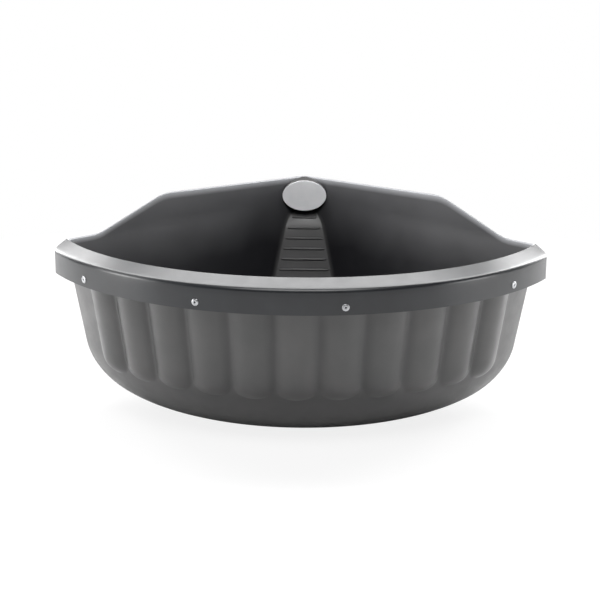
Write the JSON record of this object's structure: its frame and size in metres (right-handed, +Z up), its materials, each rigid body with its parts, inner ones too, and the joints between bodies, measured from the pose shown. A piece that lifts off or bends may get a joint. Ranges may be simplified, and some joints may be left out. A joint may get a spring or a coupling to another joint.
{
  "type": "corner feed tub",
  "caption": "Moulded rubber feed tub for a stable corner: bowed, lobed front, two straight back walls with raised boards, tilted web inside, steel guard riveted over the rim.",
  "frame": {"origin": "middle of the footprint's bounding box, on the flat base", "axes": "+X to the right seen from the front, +Y back into the stable corner, +Z up"},
  "size_m": [0.6786, 0.5446, 0.285],
  "materials": {
    "rubber_tub": "satin, dark grey",
    "steel_guard": "satin dark grey powder coat on steel",
    "plate": "plain, satin",
    "rivet": "plain, dull",
    "stem": "broken end, dull"
  },
  "bodies": {
    "root": {"tub_shell": "rubber_tub", "rim_guard": "steel_guard", "corner_plate": "plate", "guard_rivet_far_left": "rivet", "guard_rivet_left": "rivet", "guard_rivet_right": "rivet", "guard_rivet_far_right": "rivet", "rivet_stem_far_left": "stem", "rivet_stem_left": "stem", "rivet_stem_right": "stem", "rivet_stem_far_right": "stem"}
  },
  "joints": []
}
